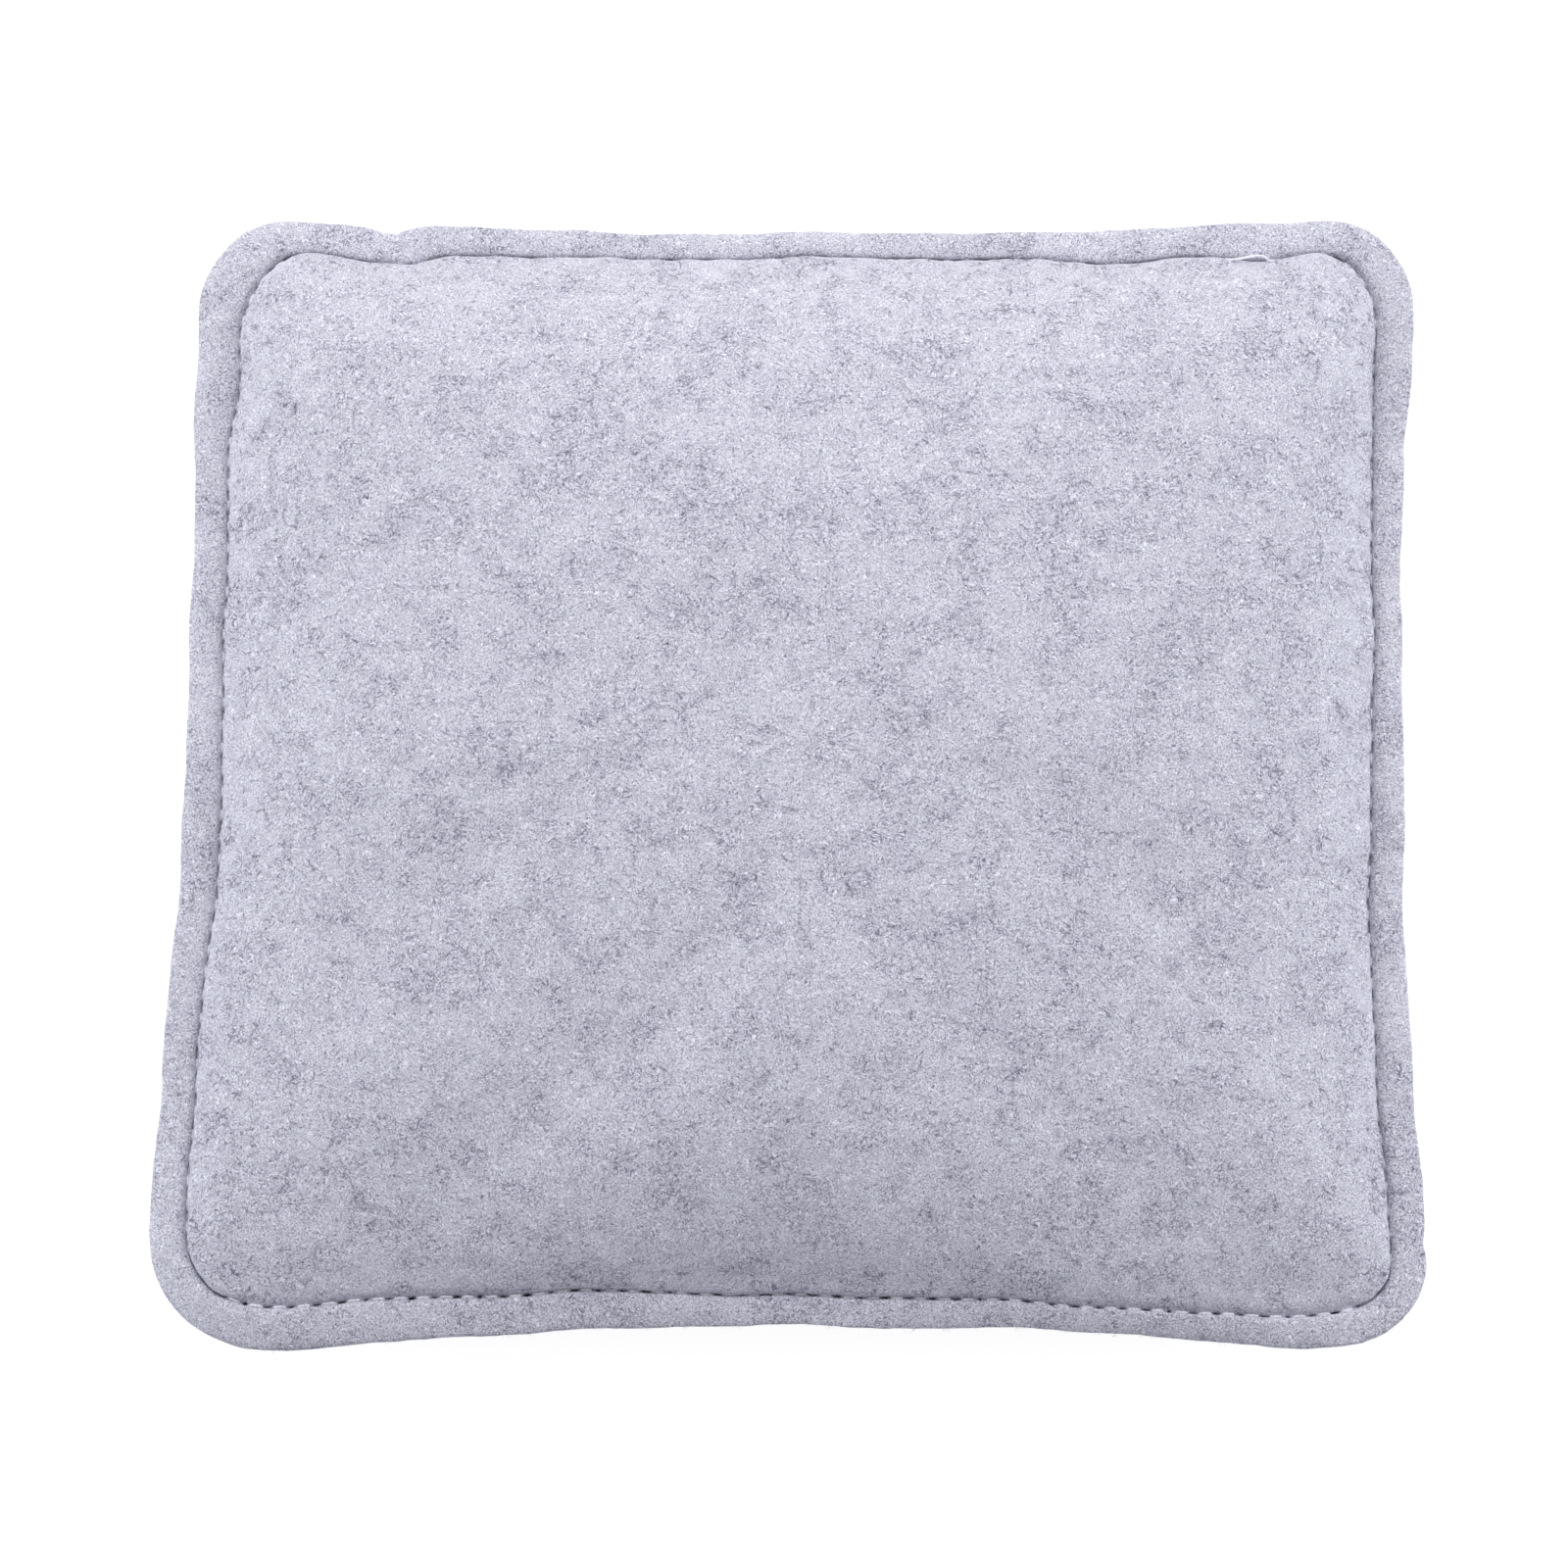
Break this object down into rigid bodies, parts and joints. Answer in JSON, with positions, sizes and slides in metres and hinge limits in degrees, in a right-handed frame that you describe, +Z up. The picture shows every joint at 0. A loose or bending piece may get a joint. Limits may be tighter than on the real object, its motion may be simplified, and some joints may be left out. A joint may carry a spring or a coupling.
{
  "type": "needle felting pad",
  "caption": "Square felt cushion pad with a flat sewn flange and a springy foam slab inside, a soft backing that takes the needle in felting work.",
  "frame": {"origin": "on the table under the middle of the pad, at the middle of its flat underside", "axes": "+X along the longer side to the user's right, +Y away from the user, +Z up out of the working face"},
  "size_m": [0.215, 0.2, 0.0366],
  "materials": {
    "felt": "matte",
    "foam": "matte",
    "thread": "satin"
  },
  "bodies": {
    "root": {"top_cover": "felt", "bottom_cover": "felt", "foam_core": "foam", "seam_needle_thread": "thread", "seam_bobbin_thread": "thread", "closing_needle_thread": "thread", "closing_bobbin_thread": "thread"}
  },
  "joints": []
}
